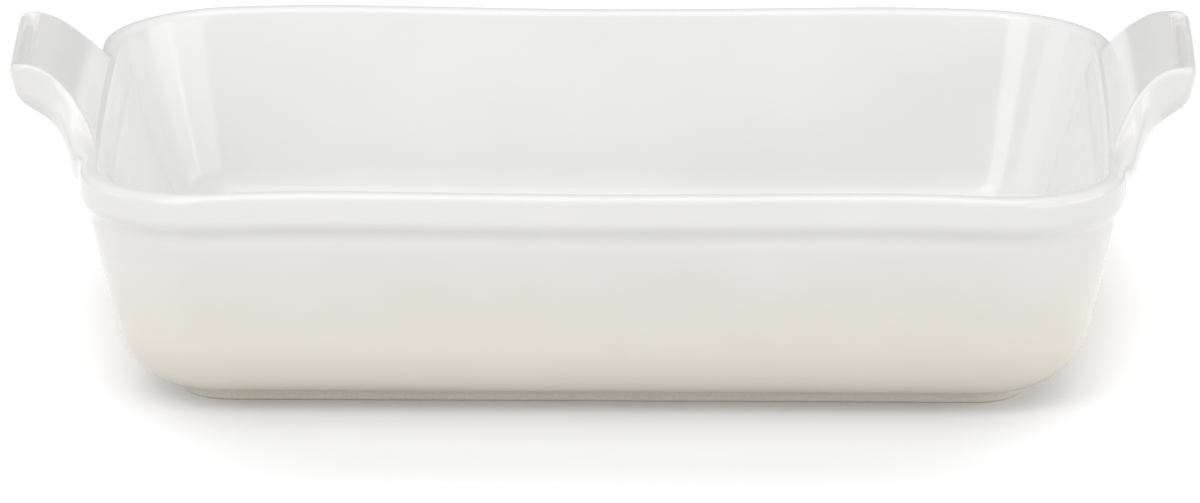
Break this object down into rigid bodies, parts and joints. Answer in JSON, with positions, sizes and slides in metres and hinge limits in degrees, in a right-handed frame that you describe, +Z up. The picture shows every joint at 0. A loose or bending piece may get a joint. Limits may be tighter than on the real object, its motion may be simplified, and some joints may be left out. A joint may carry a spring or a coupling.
{
  "type": "lasagna dish",
  "caption": "Rectangular stoneware baking dish with drafted walls, a raised band under the lip, a foot ring and a swept-up lug handle at each end, glazed white and cream.",
  "frame": {"origin": "on the table, under the middle of the dish", "axes": "+X along the dish through both lugs, +Y across it, +Z up"},
  "size_m": [0.385, 0.229, 0.0965],
  "materials": {
    "stoneware": "bare fired clay, matte",
    "white_glaze": "glossy white",
    "cream_glaze": "glossy, white under the rim and warm cream lower down",
    "lug_glaze": "glossy white"
  },
  "bodies": {
    "root": {"stoneware_basin": "stoneware", "left_lug": "stoneware", "right_lug": "stoneware", "interior_glaze": "white_glaze", "exterior_glaze": "cream_glaze", "left_lug_glaze": "lug_glaze", "right_lug_glaze": "lug_glaze"}
  },
  "joints": []
}
